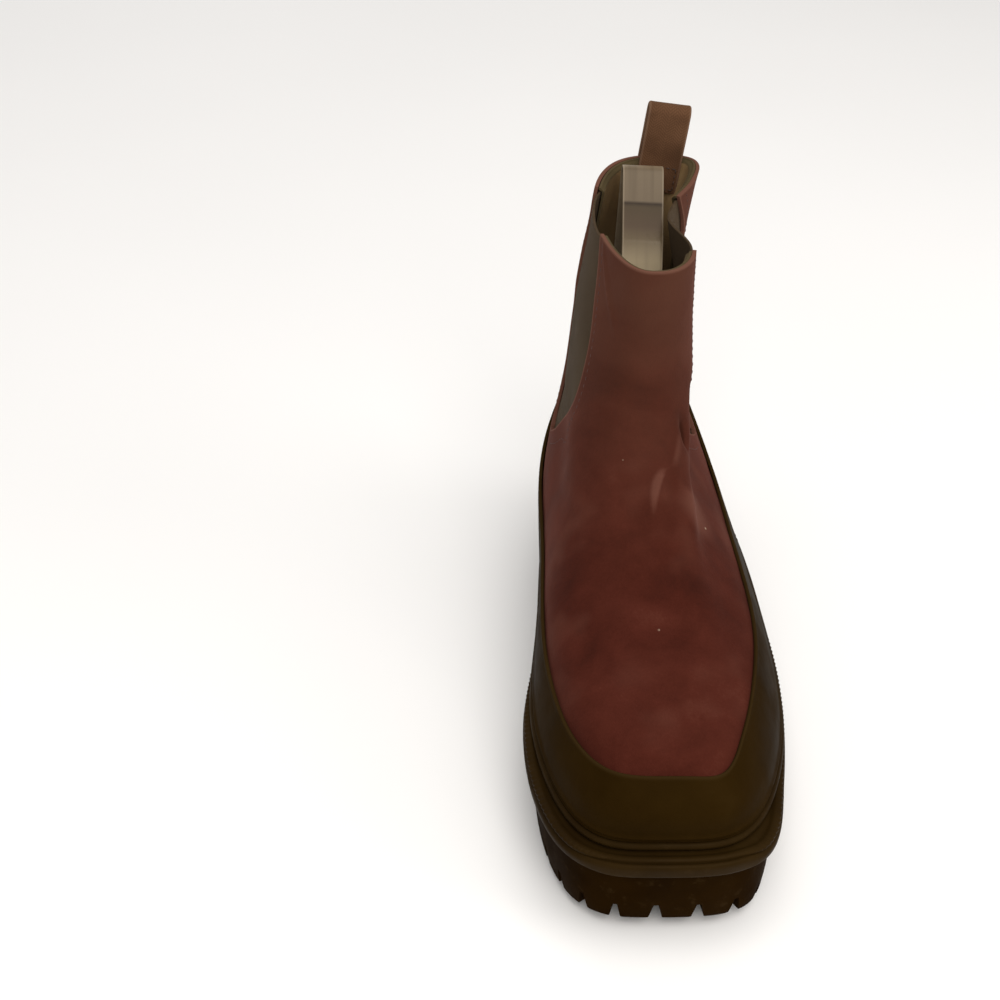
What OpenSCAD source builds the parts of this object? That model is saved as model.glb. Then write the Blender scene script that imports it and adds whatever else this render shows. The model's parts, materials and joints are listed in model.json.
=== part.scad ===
// Lug-soled chelsea boot for the left foot, in millimetres.
// The toe points along -Y, the inner side of the foot is -X, and the sole stands on Z = 0.

/* [Boot] */
// Length of the sole, heel to toe
boot_length = 296; // [270:1:320]
// Widest part of the sole
boot_width = 110; // [98:1:122]
// Height of the back of the topline above the ground
shaft_height = 210; // [190:1:230]

/* [Sole] */
// Height of the ground lugs
tread_depth = 10; // [6:0.5:12]
// Number of lugs round the edge of the sole
lug_count = 42; // [36:2:48]
// Gap between two edge lugs
lug_gap = 4.6; // [3:0.2:6]
// How far the sole curls up at the toe
toe_spring = 8; // [4:1:16]
// How much higher the heel sits than the toe
heel_rise = 4; // [2:0.5:10]
// Width of the bumper strip round the sole's edge
welt_width = 14; // [10:0.5:16]
// Radius of the piping bead between the upper and the bumper strip
bead_radius = 1.7; // [1.2:0.1:2]

/* [Upper] */
// Thickness of the suede
suede_t = 1.6; // [1.2:0.1:1.8]
// Thickness of the lining
lining_t = 1; // [0.8:0.1:1.4]
// Thickness of the coated mudguard and heel cover
guard_t = 1.4; // [1:0.1:2]
// Thickness of the elastic gores
gore_t = 1; // [0.8:0.1:1.2]
// Gap left between the layers of the upper
layer_gap = 0.4; // [0.3:0.1:0.5]

/* [Pull tab] */
// Width of the webbing
tab_width = 19; // [15:1:24]
// Height of the loop above the topline
tab_rise = 25; // [20:1:32]
// Thickness of the webbing
tab_t = 1.6; // [1.2:0.1:2]
// Sideways lean of the loop, in degrees
tab_lean = 8; // [0:1:10]

/* [Shaper] */
// Width of the plastic shaper strip
shaper_width = 18; // [14:1:22]
// Thickness of the shaper strip
shaper_t = 0.8; // [0.6:0.1:1]

/* [Hidden] */
$fn = 32;

// The shape tables below are drawn for a boot of this size, and SCALE fits them to the one asked for
REF = [110, 296, 210];
SCALE = [boot_width / REF[0], boot_length / REF[1], shaft_height / REF[2]];
half_length = boot_length / 2;

// Centre lines of the upper, [y, z], evenly spaced from the welt (v = 0) to the topline (v = 1)
FRONT = [[-138, 45.5], [-139, 60], [-122, 76], [-88, 86], [-50, 99], [-14, 118], [10, 142],
    [22, 170], [24, 200]];
BACK = [[139, 49.5], [144, 64], [145.5, 84], [142, 106], [136, 128], [131, 150], [127, 171],
    [125, 191], [124, 210]];
// Half widths of the upper: each row is one height, v = 0, 0.25 ... 1, read from front to back
INNER = [[44, 48, 43, 41, 37], [40, 44, 43, 44.5, 39.5], [31, 33.5, 33, 35, 33],
    [22, 25, 27, 28, 27], [22, 25, 29, 29.5, 30]];
OUTER = [[46, 52, 51, 46.5, 38], [38, 41, 37.5, 35, 35], [29, 20.5, 19.5, 22, 24],
    [26, 25.5, 20.5, 21.5, 23], [23, 16.5, 5, 15.5, 25]];
// Sideways place of the front and back centre lines at the same five heights
FRONT_X = [-2, -1, -3, -5, 1];
BACK_X = [-2, -1, -1, -1, 10];
// Squareness of each ring's front and back half at the same five heights: 2 is an ellipse
FRONT_SQUARE = [4, 3.4, 2.8, 2.4, 2.3];
BACK_SQUARE = [2.5, 2.4, 2.4, 2.6, 3];

// Edge of the sole seen from above, from the toe round the inner side
OUTLINE = [[-5, -148], [-27.5, -145], [-43.5, -130], [-53, -100], [-55, -62], [-49, -18], [-44, 25],
    [-43, 70], [-40, 108], [-27, 139], [1, 148], [29, 139], [43, 108], [47, 70], [50, 25],
    [54.5, -20], [54, -60], [49, -98], [41, -132], [24, -145.5]];

// Heights in the sole, before the heel's rise
top_z = 41.5;            // top of the bumper strip
wall_z = 32.5;           // top of the rubber wall
strip_gap = 0.3;         // joint line between the parts of the sole
toe_start = -0.2 * boot_length;  // where the sole starts to curl up
sole_n = 72;             // points round each ring of the sole

// Depths of the layers below the surface of the upper
gore_out = -suede_t - layer_gap;
gore_in = gore_out - gore_t;
lining_out = gore_in - layer_gap - 0.1;
lining_in = lining_out - lining_t;

// The gores: a tongue with a rounded lower end. Its front and back edges are given by their share
// of the way round a ring, evenly spaced from the lower end up, for the inner and the outer gore.
GORE_FRONT = [[0.292, 0.268, 0.24, 0.197, 0.175, 0.183, 0.197],
    [0.285, 0.262, 0.228, 0.205, 0.192, 0.17, 0.145]];
GORE_BACK = [[0.318, 0.325, 0.322, 0.317, 0.308, 0.3, 0.292],
    [0.318, 0.322, 0.32, 0.313, 0.302, 0.285, 0.265]];
gore_tip = 0.36;         // height of the lower end
gore_round = 0.08;       // height over which the lower end is rounded
gore_lap = 0.018;        // how far the elastic runs on under the suede
gore_dip = 0.978;        // the elastic stops a little below the suede's corners
side_seam = 0.29;        // where the mudguard meets the heel cover
// The front of the shaft flexes along the ring at this height
flex_v = 0.55;
flex_gap = 0.0016;
// Height of the mudguard's top edge, evenly spaced from its outer end round the toe to its inner end
GUARD_TOP = [0.285, 0.272, 0.262, 0.255, 0.235, 0.2, 0.204, 0.202, 0.2, 0.2, 0.214, 0.235, 0.25];

// Smooth curve through evenly spaced knots, t from 0 to 1
function curve(k, t) =
    let (n = len(k) - 1, x = min(max(t, 0), 1) * n, i = min(floor(x), n - 1))
    blend4(k[max(i - 1, 0)], k[i], k[i + 1], k[min(i + 2, n)], x - i);
// The same through a closed ring of knots
function ring_curve(k, t) =
    let (n = len(k), x = (t - floor(t)) * n, i = floor(x) % n)
    blend4(k[(i + n - 1) % n], k[i], k[(i + 1) % n], k[(i + 2) % n], x - floor(x));
function blend4(a, b, c, d, f) =
    (2 * b + (c - a) * f + (2 * a - 5 * b + 4 * c - d) * f * f
        + (3 * b - a - 3 * c + d) * f * f * f) / 2;
function signed_pow(a, p) = sign(a) * pow(abs(a), p);
function mix(a, b, f) = a + (b - a) * f;
function unit(p) = p / norm(p);
function fit(p) = [p[0] * SCALE[0], p[1] * SCALE[1], p[2] * SCALE[2]];

// Outer face of the upper. u goes once round from the front centre by the inner side, v goes up.
function hide(u, v) =
    let (
        c = cos(360 * u), s = sin(360 * u),
        power = 2 / curve(c > 0 ? FRONT_SQUARE : BACK_SQUARE, v),
        along = (1 - signed_pow(c, power)) / 2,
        half = curve([for (row = s > 0 ? INNER : OUTER) curve(row, along)], v),
        yz = mix(curve(FRONT, v), curve(BACK, v), along),
        x = mix(curve(FRONT_X, v), curve(BACK_X, v), along) - half * signed_pow(s, power)
    )
    fit([x, yz[0], yz[1]]);
// Direction straight out of the upper
function outward(u, v) =
    let (e = 0.004)
    unit(cross(hide(u, v + e) - hide(u, v - e), hide(u + e, v) - hide(u - e, v)));
function at_depth(u, v, depth) = hide(u, v) + depth * outward(u, v);

// An edge of a gore at height v, counted from the front centre: k is 0 for the front edge and 1
// for the back. side is 1 for the inner gore and -1 for the outer one.
function gore_edge(v, side, k) =
    let (i = side > 0 ? 0 : 1, t = (v - gore_tip) / (1 - gore_tip),
        edges = [curve(GORE_FRONT[i], t), curve(GORE_BACK[i], t)],
        rise = min(1, max(0, (v - gore_tip) / gore_round)))
    mix((edges[0] + edges[1]) / 2, edges[k], sqrt(1 - pow(1 - rise, 2)));
function gore_front(v, side) = gore_edge(v, side, 0);
function gore_back(v, side) = gore_edge(v, side, 1);
// u across the front panel and across the back panel, a going from 0 to 1, less a small margin
function across_front(a, v, margin = 0) =
    mix(margin - gore_front(v, -1), gore_front(v, 1) - margin, a);
function across_back(a, v, margin = 0) =
    mix(gore_back(v, 1) + margin, 1 - gore_back(v, -1) - margin, a);

// Two triangles for the quad a, b, c, d, which runs clockwise seen from outside
function quad(a, b, c, d) = [[a, b, c], [a, c, d]];
function flat(list) = [for (part = list) for (item = part) item];

// A patch of skin: place(a, b) gives [u, v] for a and b from 0 to 1, and the patch is the
// solid between two depths below the surface.
module skin(place, na, nb, out_depth, in_depth) {
    row = na + 1;
    side = row * (nb + 1);
    points = [
        for (depth = [out_depth, in_depth]) for (j = [0:nb]) for (i = [0:na])
            let (p = place(i / na, j / nb)) at_depth(p[0], p[1], depth)
    ];
    outer = [for (j = [0:nb - 1]) for (i = [0:na - 1])
        let (p = j * row + i) quad(p, p + 1, p + 1 + row, p + row)];
    inner = [for (j = [0:nb - 1]) for (i = [0:na - 1])
        let (p = side + j * row + i) quad(p, p + row, p + 1 + row, p + 1)];
    bottom = [for (i = [0:na - 1]) quad(i + 1, i, side + i, side + i + 1)];
    top = [for (i = [0:na - 1]) let (p = nb * row + i) quad(p, p + 1, side + p + 1, side + p)];
    left = [for (j = [0:nb - 1])
        let (p = j * row) quad(p, p + row, side + p + row, side + p)];
    right = [for (j = [0:nb - 1])
        let (p = j * row + na) quad(p + row, p, side + p, side + p + row)];
    polyhedron(points, flat(concat(outer, inner, bottom, top, left, right)), convexity = 8);
}

// Sole edge by arc length, so that lugs and facets are spaced evenly
arc_steps = 120;
arc_points = [for (i = [0:arc_steps]) fit(concat(ring_curve(OUTLINE, i / arc_steps), 0))];
arc_length = [for (i = 0, s = 0; i <= arc_steps;
    s = s + (i < arc_steps ? norm(arc_points[i + 1] - arc_points[i]) : 0), i = i + 1) s];
arc_table = [for (i = [0:arc_steps]) [arc_length[i] / arc_length[arc_steps], i / arc_steps]];
perimeter = arc_length[arc_steps];
function edge_at(s) = fit(concat(ring_curve(OUTLINE, lookup(s - floor(s), arc_table)), 0));
function edge_normal(s) = let (d = edge_at(s + 0.002) - edge_at(s - 0.002)) unit([-d[1], d[0], 0]);
function edge(s, inset) = edge_at(s) - inset * edge_normal(s);

// Height of a level of the sole at y: the toe curls up at the ground, the heel rises at the top
function level(y, z) =
    let (curl = max(0, (toe_start - y) / (toe_start + half_length)), share = min(z / top_z, 1))
    z + toe_spring * curl * curl * (1 - share) + heel_rise * (y + half_length) / boot_length * share;
function on_level(p, z) = [p[0], p[1], level(p[1], z)];

// A solid through rings of the same number of points, from the bottom up, with closed ends
module loft(rings) {
    n = len(rings[0]);
    last = len(rings) - 1;
    walls = [for (k = [0:last - 1]) for (i = [0:n - 1])
        let (j = (i + 1) % n) quad(k * n + i, k * n + j, k * n + n + j, k * n + n + i)];
    half = floor(n / 2);
    floor_faces = [for (i = [0:half - 1]) quad((n - i) % n, n - i - 1, i + 1, i)];
    roof = last * n;
    roof_faces = [for (i = [0:half - 1])
        quad(roof + i, roof + i + 1, roof + n - i - 1, roof + (n - i) % n)];
    kept = [for (f = flat(concat(walls, floor_faces, roof_faces)))
        if (f[0] != f[1] && f[1] != f[2] && f[2] != f[0]) f];
    polyhedron(flat(rings), kept, convexity = 6);
}

// A closed hoop: each ring is one cross-section, and the last joins the first
module hoop(rings) {
    n = len(rings);
    m = len(rings[0]);
    faces = [for (k = [0:n - 1]) for (i = [0:m - 1])
        let (next = (k + 1) % n, j = (i + 1) % m)
        quad(k * m + i, next * m + i, next * m + j, k * m + j)];
    polyhedron(flat(rings), flat(faces), convexity = 8);
}

function sole_ring(inset, z) = [for (i = [0:sole_n - 1]) on_level(edge(i / sole_n, inset), z)];
// Ring inside the foot of the upper, for the insole parts
function feather_ring(inset, rise) = [for (i = [0:sole_n - 1])
    let (p = hide(i / sole_n, 0), out = outward(i / sole_n, 0),
        q = p - inset * unit([out[0], out[1], 0])) [q[0], q[1], p[2] + rise]];

// Ring with the lugs at one inset and the gaps between them at another, four points to a lug
function tread_ring(lug_inset, gap_inset, z) =
    let (gap = lug_gap / perimeter, corner = gap * 0.15)
    flat([for (i = [0:lug_count - 1])
        let (start = i / lug_count + gap / 2, end = (i + 1) / lug_count - gap / 2)
        [on_level(edge(start, lug_inset), z), on_level(edge(end, lug_inset), z),
            on_level(edge(end + corner, gap_inset), z),
            on_level(edge(end + gap - corner, gap_inset), z)]]);

// Wall, tread and edge lugs are one moulding; the gaps between the lugs end short of the middle
module outsole() {
    gap_end = 15;
    color("#26221c")
        loft([tread_ring(gap_end + 3, gap_end + 3, 0), tread_ring(6.5, gap_end + 1, 0),
            tread_ring(5, gap_end, tread_depth), tread_ring(4.9, 4.9, tread_depth + 0.8),
            tread_ring(4.3, 4.3, mix(tread_depth, wall_z, 0.5)), tread_ring(4, 4, wall_z - 1),
            tread_ring(5, 5, wall_z)]);
}

// A thin plate that follows the sole's levels from y0 to y1
module level_plate(x, width, y0, y1, z0, z1) {
    steps = 8;
    rings = [for (i = [0:steps]) let (y = mix(y0, y1, i / steps))
        [for (p = [[-1, z0], [-1, z1], [1, z1], [1, z0]]) [x + p[0] * width / 2, y, level(y, p[1])]]];
    side = [for (k = [0:steps - 1]) for (i = [0:3])
        let (j = (i + 1) % 4) quad(k * 4 + i, k * 4 + 4 + i, k * 4 + 4 + j, k * 4 + j)];
    ends = [quad(0, 1, 2, 3), quad(steps * 4 + 3, steps * 4 + 2, steps * 4 + 1, steps * 4)];
    polyhedron(flat(rings), flat(concat(side, ends)), convexity = 2);
}

shank_w = 14;
shank_y = [-0.1 * boot_length, 0.27 * boot_length];
midsole_z = top_z - 0.6;
shank_z = [midsole_z + 0.2, midsole_z + 1.4];

module midsole() color("#3a352c")
    loft([sole_ring(welt_width + 0.4, wall_z + strip_gap), sole_ring(welt_width + 0.4, midsole_z)]);

module shank() color("#9a9a9a")
    level_plate(0, shank_w, shank_y[0], shank_y[1], shank_z[0], shank_z[1]);

// The bumper strip: a band with rounded outer corners, round the top of the sole
module welt() {
    bottom_z = wall_z + strip_gap;
    profile = [[welt_width, bottom_z], [1.6, bottom_z], [0, bottom_z + 1.8], [0, top_z - 3.2],
        [0.8, top_z - 1.2], [3, top_z], [welt_width, top_z]];
    color("#2b2720")
        hoop([for (i = [0:sole_n - 1]) [for (p = profile) on_level(edge(i / sole_n, p[0]), p[1])]]);
}

module welt_bead() {
    sides = 8;
    centre_out = 1;   // the bead stands a little proud of the upper
    centre_z = 2;     // and its middle is this far below the upper's edge
    color("#3b362c")
        hoop([for (i = [0:sole_n - 1])
            let (u = i / sole_n, p = hide(u, 0), o = outward(u, 0), out = unit([o[0], o[1], 0]))
            [for (k = [0:sides - 1])
                p + out * (centre_out + bead_radius * cos(360 * k / sides))
                + [0, 0, bead_radius * sin(360 * k / sides) - centre_z]]]);
}

module insole_board() color("#a58a62") loft([feather_ring(2, -2.8), feather_ring(2, -0.8)]);
module footbed() color("#5c5348") loft([feather_ring(6.2, -0.5), feather_ring(6, 3)]);
module sock_cover() color("#4a4337") loft([feather_ring(6.2, 3.2), feather_ring(6.6, 4)]);

// Height of a row b from low to high, with a share of the rows below the gores' tips
function row_height(b, share, low, high) =
    b < share ? mix(low, gore_tip, b / share) : mix(gore_tip, high, (b - share) / (1 - share));

// The front of the upper is one hide, drawn as two nodes that meet where it flexes
module vamp() color("#7a4a42")
    skin(function (a, b)
        let (v = row_height(b, 9 / 14, 0, flex_v - flex_gap)) [across_front(a, v), v],
        36, 14, 0, -suede_t);
module shaft_front() color("#7d4d45")
    skin(function (a, b)
        let (v = mix(flex_v + flex_gap, 1, b)) [across_front(a, v), v],
        24, 10, 0, -suede_t);
module back_panel() color("#6f433c")
    skin(function (a, b)
        let (v = row_height(b, 9 / 21, 0, 1))
        [across_back(a, v, 0.003), v],
        24, 21, 0, -suede_t);

// Top edge of the coated guards: the heel cover runs from one end of the mudguard to the other,
// and arches up behind the heel
guard_joint = 0.0015;   // half the gap between the mudguard and the heel cover
heel_arch = 0.155;
function guard_top(u) =
    u <= side_seam ? curve(GUARD_TOP, (u + side_seam) / (2 * side_seam))
        : let (t = (u - side_seam) / (1 - 2 * side_seam))
            mix(GUARD_TOP[12], GUARD_TOP[0], t) + heel_arch * pow(sin(180 * t), 1.4);

// The rubber-coated guard wraps the toe and runs back along both sides
module mudguard() color("#2e2a22")
    skin(function (a, b)
        let (u = mix(-1, 1, a) * (side_seam - guard_joint)) [u, mix(0.004, guard_top(u), b)],
        46, 5, guard_t + 0.2, 0.2);
module heel_counter_cover() color("#2e2a22")
    skin(function (a, b)
        let (u = mix(side_seam + guard_joint, 1 - side_seam - guard_joint, a))
        [u, mix(0.004, guard_top(u), b)], 28, 7, guard_t + 0.2, 0.2);

// An elastic gore: its edges run on under the suede; side is 1 for the inner and -1 for the outer
module gore(side) color("#57503f")
    skin(function (a, b)
        let (v = mix(gore_tip - 0.02, gore_dip, b), t = side > 0 ? a : 1 - a)
        [side * mix(gore_front(v, side) - gore_lap, gore_back(v, side) + gore_lap, t), v],
        10, 14, gore_out, gore_in);
module gore_medial() gore(1);
module gore_lateral() gore(-1);

// Hidden stiffeners between the suede and the lining
module toe_puff() color("#c9b896")
    skin(function (a, b) [mix(-0.17, 0.17, a), mix(0.02, 0.25, b)], 22, 5,
        gore_out, gore_out - 1);
module counter_stiffener() color("#c9b896")
    skin(function (a, b)
        let (u = mix(0.345, 0.655, a)) [u, mix(0.02, 0.36, b)], 18, 6, gore_out, gore_out - 1);

lining_margin = 0.003;
module vamp_lining() color("#4d4536")
    skin(function (a, b)
        let (v = row_height(b, 8 / 12, 0.012, flex_v - flex_gap))
        [across_front(a, v, lining_margin), v],
        30, 12, lining_out, lining_in);
module shaft_front_lining() color("#4d4536")
    skin(function (a, b)
        let (v = mix(flex_v + flex_gap, 0.996, b)) [across_front(a, v, lining_margin), v],
        22, 9, lining_out, lining_in);
module quarter_lining() color("#4d4536")
    skin(function (a, b)
        let (v = row_height(b, 7 / 16, 0.012, 0.996))
        [across_back(a, v, lining_margin), v],
        22, 16, lining_out, lining_in);

// Reinforcing tape along the topline, between suede and lining
module topline_tape_front() color("#b9a58c")
    skin(function (a, b) [mix(-0.115, 0.15, a), mix(0.93, 0.998, b)], 18, 1,
        gore_out, gore_in);
module topline_tape_back() color("#b9a58c")
    skin(function (a, b) [mix(0.335, 0.69, a), mix(0.93, 0.998, b)], 18, 1, gore_out, gore_in);

// A row of stitches shown as a thin raised thread, offset from a gore's edge
module thread(place, n) skin(place, 1, n, 0.62, 0.15);
stitch_inset = 0.014;
stitch_half = 0.0018;
module front_stitching() color("#5a3530")
    for (side = [-1, 1])
        thread(function (a, b)
            let (v = mix(flex_v + 0.01, 0.985, b), t = side > 0 ? a : 1 - a)
            [side * (gore_front(v, side) - stitch_inset + mix(-1, 1, t) * stitch_half), v], 12);
module quarter_stitching() color("#5a3530")
    for (side = [-1, 1])
        thread(function (a, b)
            let (v = mix(gore_tip + 0.03, 0.985, b), t = side > 0 ? a : 1 - a)
            [side * (gore_back(v, side) + stitch_inset + mix(-1, 1, t) * stitch_half), v], 14);

// The pull tab: a webbing loop over the back of the topline
rim = hide(0.5, 1);                     // back centre of the topline
tab_out_y = rim[1] + 1.7;                  // inner face of the outside leg
tab_in_y = rim[1] + lining_in - 2.9;       // outer face of the inside leg
neck_y = (tab_out_y + tab_in_y) / 2;
neck_z = rim[2] + 4.8;
module tab_frame() translate([rim[0], 0, neck_z]) rotate([0, tab_lean, 0]) translate([0, 0, -neck_z])
    rotate([90, 0, 90]) linear_extrude(tab_width, center = true) children();

module pull_tab() color("#7b5b43") tab_frame() {
    loop_half = 4.3;
    loop_widens = 11;   // height at which the loop reaches its full depth
    top = rim[2] + tab_rise - loop_half;
    difference() {
        hull() {
            translate([neck_y, neck_z]) circle(r = 0.9);
            translate([neck_y, neck_z + loop_widens]) circle(r = loop_half);
            translate([neck_y, top]) circle(r = loop_half);
        }
        hull() {
            translate([neck_y, neck_z + 4.5]) circle(r = 0.3);
            translate([neck_y, neck_z + loop_widens]) circle(r = loop_half - tab_t);
            translate([neck_y, top]) circle(r = loop_half - tab_t);
        }
    }
}

// The sewn ends of the same webbing, which saddle the topline
anchor_drop = 17;
module pull_tab_anchor() color("#745540") tab_frame() {
    saddle_z = rim[2] + 1.6;
    translate([tab_out_y, saddle_z - anchor_drop]) square([tab_t, anchor_drop + tab_t]);
    translate([tab_in_y - tab_t, saddle_z - anchor_drop]) square([tab_t, anchor_drop + tab_t]);
    translate([tab_in_y - tab_t, saddle_z])
        square([tab_out_y - tab_in_y + 2 * tab_t, tab_t]);
}

// Box stitch that holds the outside leg
module pull_tab_stitching() color("#4a3527")
    translate([rim[0], tab_out_y + tab_t + 0.05, neck_z]) rotate([0, tab_lean, 0])
        translate([0, 0, -neck_z + rim[2] - 9]) rotate([-90, 0, 0]) linear_extrude(0.5)
            difference() {
                square([tab_width - 4, 11], center = true);
                square([tab_width - 5.4, 9.6], center = true);
            }

// The shaper: a springy plastic strip bent over at the top, both legs resting inside the shaft
shaper_top = [rim[0] - 10, rim[1] - 19.5, rim[2] - 4];   // centre of the bend
shaper_r = 6;
shaper_lean = 3;         // degrees, with the shaft
shaper_drop = 85;        // length of the straight back leg
// Front leg from the bend down to its foot, [y, z] from the bend's centre
SHAPER_LEG = [[-27, -17], [-45, -46], [-55, -91]];
module boot_shaper() {
    front_angle = 128;   // where the front leg leaves the bend
    path = concat([[shaper_r, -shaper_drop]],
        [for (a = [0:16:front_angle]) shaper_r * [cos(a), sin(a)]],
        [for (i = [0:8]) curve(SHAPER_LEG, i / 8)]);
    n = len(path);
    side = [for (i = [0:n - 1]) let (d = unit(path[min(i + 1, n - 1)] - path[max(i - 1, 0)]))
        shaper_t / 2 * [-d[1], d[0]]];
    color("#d8d5cc") translate(shaper_top) rotate([0, shaper_lean, 0]) rotate([90, 0, 90])
        linear_extrude(shaper_width, center = true)
            polygon(concat([for (i = [0:n - 1]) path[i] + side[i]],
                [for (i = [n - 1:-1:0]) path[i] - side[i]]));
}

outsole();
midsole();
shank();
welt();
welt_bead();
insole_board();
footbed();
sock_cover();
toe_puff();
counter_stiffener();
vamp();
shaft_front();
back_panel();
mudguard();
heel_counter_cover();
gore_medial();
gore_lateral();
vamp_lining();
shaft_front_lining();
quarter_lining();
topline_tape_front();
topline_tape_back();
front_stitching();
quarter_stitching();
pull_tab();
pull_tab_anchor();
pull_tab_stitching();
boot_shaper();
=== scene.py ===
"""Lug-soled chelsea boot for the left foot: the visual model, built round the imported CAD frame.

Shapes are worked out in millimetres, in the frame's own axes: the toe points along -Y, the inner
side of the foot is -X and the sole stands on Z = 0. Meshes are written in metres.
"""

import json
import math

import bmesh
import bpy
import numpy as np
from mathutils import Matrix, Vector, noise


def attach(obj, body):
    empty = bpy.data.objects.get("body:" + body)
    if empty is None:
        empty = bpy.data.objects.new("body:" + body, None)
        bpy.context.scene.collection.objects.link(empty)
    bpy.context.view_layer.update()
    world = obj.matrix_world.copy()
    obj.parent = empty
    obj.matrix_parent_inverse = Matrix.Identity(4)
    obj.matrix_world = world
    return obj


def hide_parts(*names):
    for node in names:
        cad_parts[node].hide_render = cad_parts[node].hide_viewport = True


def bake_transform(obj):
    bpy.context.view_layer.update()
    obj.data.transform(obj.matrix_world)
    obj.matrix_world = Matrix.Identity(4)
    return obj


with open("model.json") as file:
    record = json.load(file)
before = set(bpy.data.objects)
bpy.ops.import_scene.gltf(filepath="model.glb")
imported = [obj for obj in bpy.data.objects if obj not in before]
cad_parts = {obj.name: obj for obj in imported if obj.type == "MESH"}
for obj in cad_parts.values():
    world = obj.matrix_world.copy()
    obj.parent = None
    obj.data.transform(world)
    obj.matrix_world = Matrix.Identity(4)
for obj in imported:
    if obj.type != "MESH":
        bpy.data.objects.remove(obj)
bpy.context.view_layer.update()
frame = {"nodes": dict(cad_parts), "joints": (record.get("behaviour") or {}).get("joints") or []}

MM = 0.001
TURN = 2 * math.pi

# ---- shape tables, in mm, as in the CAD model but for TREAD, which is 0.2 mm more

BOOT_LENGTH = 296.0
FRONT = [(-138, 45.5), (-139, 60), (-122, 76), (-88, 86), (-50, 99), (-14, 118), (10, 142),
         (22, 170), (24, 200)]
BACK = [(139, 49.5), (144, 64), (145.5, 84), (142, 106), (136, 128), (131, 150), (127, 171),
        (125, 191), (124, 210)]
INNER = [(44, 48, 43, 41, 37), (40, 44, 43, 44.5, 39.5), (31, 33.5, 33, 35, 33),
         (22, 25, 27, 28, 27), (22, 25, 29, 29.5, 30)]
OUTER = [(46, 52, 51, 46.5, 38), (38, 41, 37.5, 35, 35), (29, 20.5, 19.5, 22, 24),
         (26, 25.5, 20.5, 21.5, 23), (23, 16.5, 5, 15.5, 25)]
FRONT_X = [-2, -1, -3, -5, 1]
BACK_X = [-2, -1, -1, -1, 10]
FRONT_SQUARE = [4, 3.4, 2.8, 2.4, 2.3]
BACK_SQUARE = [2.5, 2.4, 2.4, 2.6, 3]
OUTLINE = [(-5, -148), (-27.5, -145), (-43.5, -130), (-53, -100), (-55, -62), (-49, -18), (-44, 25),
           (-43, 70), (-40, 108), (-27, 139), (1, 148), (29, 139), (43, 108), (47, 70), (50, 25),
           (54.5, -20), (54, -60), (49, -98), (41, -132), (24, -145.5)]

SUEDE = 1.6              # thickness of the suede
GORE_OUT, GORE_IN = -2.0, -3.0
LINING_OUT, LINING_IN = -3.5, -4.5
GUARD_OUT, GUARD_IN = 1.6, 0.2
GORE_FRONT = {1: [0.292, 0.268, 0.24, 0.197, 0.175, 0.183, 0.197],
              -1: [0.285, 0.262, 0.228, 0.205, 0.192, 0.17, 0.145]}
GORE_BACK = {1: [0.318, 0.325, 0.322, 0.317, 0.308, 0.3, 0.292],
             -1: [0.318, 0.322, 0.32, 0.313, 0.302, 0.285, 0.265]}
GORE_TIP, GORE_ROUND = 0.36, 0.08
GORE_LAP, GORE_DIP = 0.018, 0.978
SIDE_SEAM = 0.29
FLEX_V = 0.55
GUARD_TOP = [0.285, 0.272, 0.262, 0.255, 0.235, 0.2, 0.204, 0.202, 0.2, 0.2, 0.214, 0.235, 0.25]
TOP_Z, WALL_Z, TREAD = 41.5, 32.5, 10.2
TOE_SPRING, HEEL_RISE, CURL_START = 8, 4, -0.2  # the last is a share of the length
SPINE_Y = (-100, 105)                           # the ends of the sole's middle line
LUGS = 42
BEAD_RADIUS = 1.7
SEAM_GAP = 0.003                                # share of the way round


# ---- curves and the skin of the upper

def spline(a, b, c, d, f):
    return (2 * b + (c - a) * f + (2 * a - 5 * b + 4 * c - d) * f * f
            + (3 * b - a - 3 * c + d) * f ** 3) / 2


def mix(a, b, f):
    return a + (b - a) * f


def smooth(low, high, x):
    t = np.clip((x - low) / (high - low), 0, 1)
    return t * t * (3 - 2 * t)


def curve(knots, t):
    """The smooth curve through evenly spaced knots, for an array t of shares from 0 to 1."""
    knots = np.asarray(knots, float)
    last = len(knots) - 1
    x = np.clip(np.asarray(t, float), 0, 1) * last
    i = np.minimum(x.astype(int), last - 1)
    f = x - i
    if knots.ndim > 1:
        f = f[..., None]
    near = [knots[np.clip(i + k, 0, last)] for k in (-1, 0, 1, 2)]
    return spline(*near, f)


def curve_rows(rows, t):
    """The same for knots that are themselves arrays of t's shape."""
    rows = np.stack(rows)
    last = len(rows) - 1
    x = np.clip(t, 0, 1) * last
    i = np.minimum(x.astype(int), last - 1)
    near = [np.take_along_axis(rows, np.clip(i + k, 0, last)[None], 0)[0] for k in (-1, 0, 1, 2)]
    return spline(*near, x - i)


def signed_pow(a, power):
    return np.sign(a) * np.abs(a) ** power


def unit(p):
    return p / np.linalg.norm(p, axis=-1, keepdims=True)


def hide(u, v):
    """Outer face of the upper: u goes round from the front centre by the inner side, v goes up."""
    u, v = np.broadcast_arrays(np.asarray(u, float), np.asarray(v, float))
    c, s = np.cos(TURN * u), np.sin(TURN * u)
    power = 2 / np.where(c > 0, curve(FRONT_SQUARE, v), curve(BACK_SQUARE, v))
    along = (1 - signed_pow(c, power)) / 2
    half = np.where(s > 0, curve_rows([curve(row, along) for row in INNER], v),
                    curve_rows([curve(row, along) for row in OUTER], v))
    yz = mix(curve(FRONT, v), curve(BACK, v), along[..., None])
    x = mix(curve(FRONT_X, v), curve(BACK_X, v), along) - half * signed_pow(s, power)
    return np.stack([x, yz[..., 0], yz[..., 1]], -1)


def outward(u, v):
    e = 0.004
    return unit(np.cross(hide(u, v + e) - hide(u, v - e), hide(u + e, v) - hide(u - e, v)))


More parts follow.
